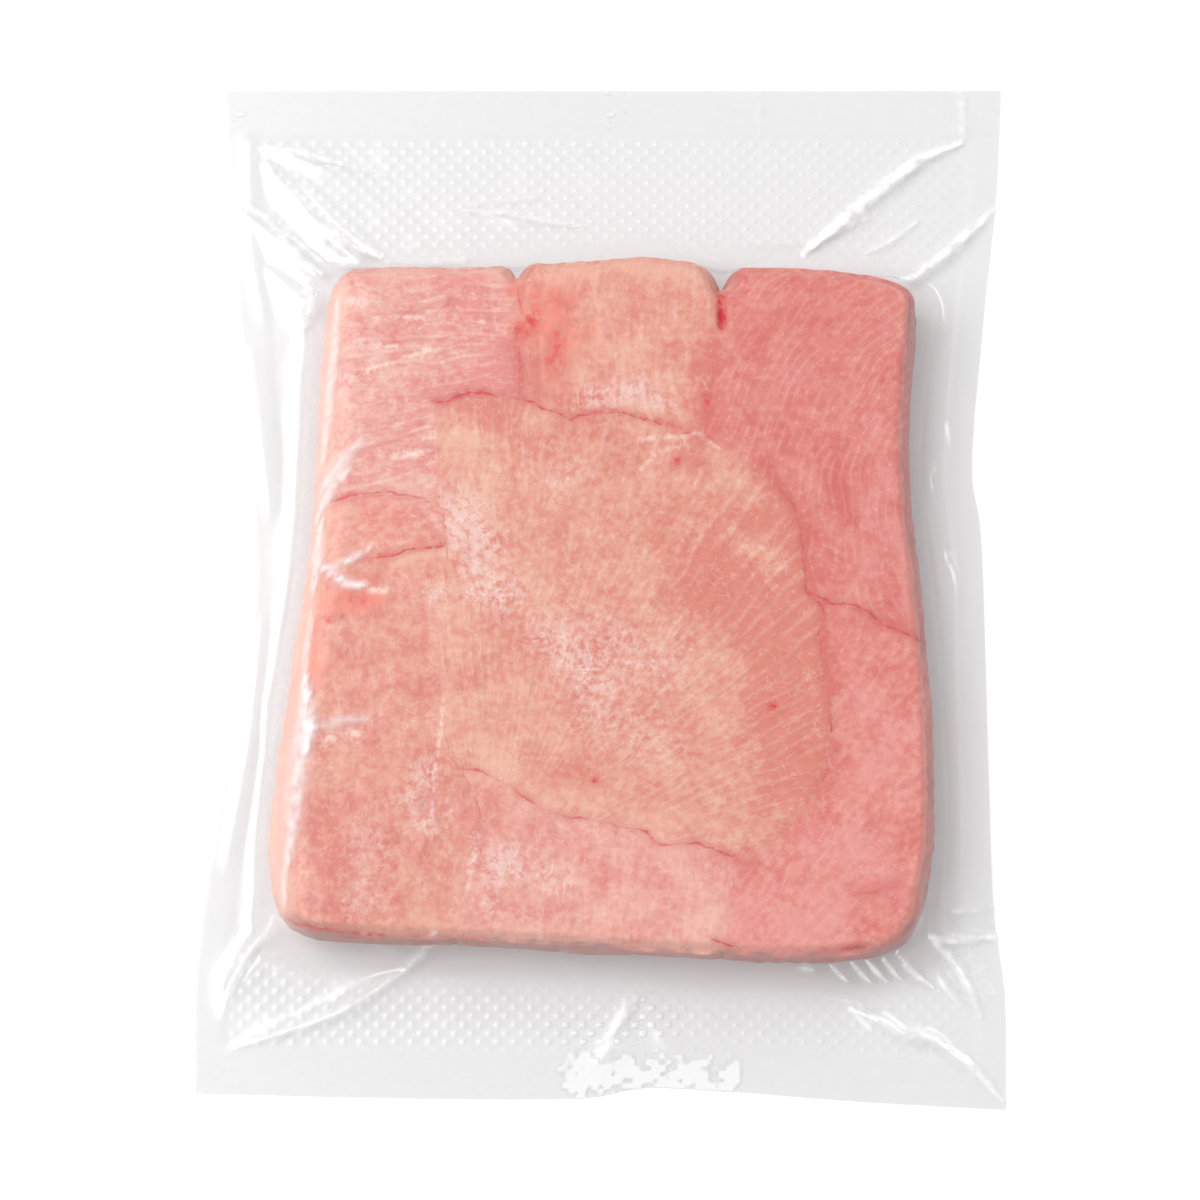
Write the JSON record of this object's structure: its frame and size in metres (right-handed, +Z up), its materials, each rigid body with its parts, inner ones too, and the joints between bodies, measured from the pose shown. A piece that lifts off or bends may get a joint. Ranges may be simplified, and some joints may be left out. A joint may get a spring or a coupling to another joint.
{
  "type": "vacuum pack of salmon fillets",
  "caption": "Flat clear sealed pouch drawn tightly over a pressed block of pale fish fillets, with wide embossed film margins and welded edges.",
  "frame": {"origin": "middle of the pouch's outline, on the surface that it lies on", "axes": "+X across the pouch, +Y along its length towards the end where the fillets' gaps open, +Z up from its flat underside"},
  "size_m": [0.2042, 0.2644, 0.0224],
  "materials": {
    "fish_flesh": "satin",
    "clear_film": "gloss"
  },
  "bodies": {
    "root": {"sealed_pouch": "fish_flesh"}
  },
  "joints": []
}
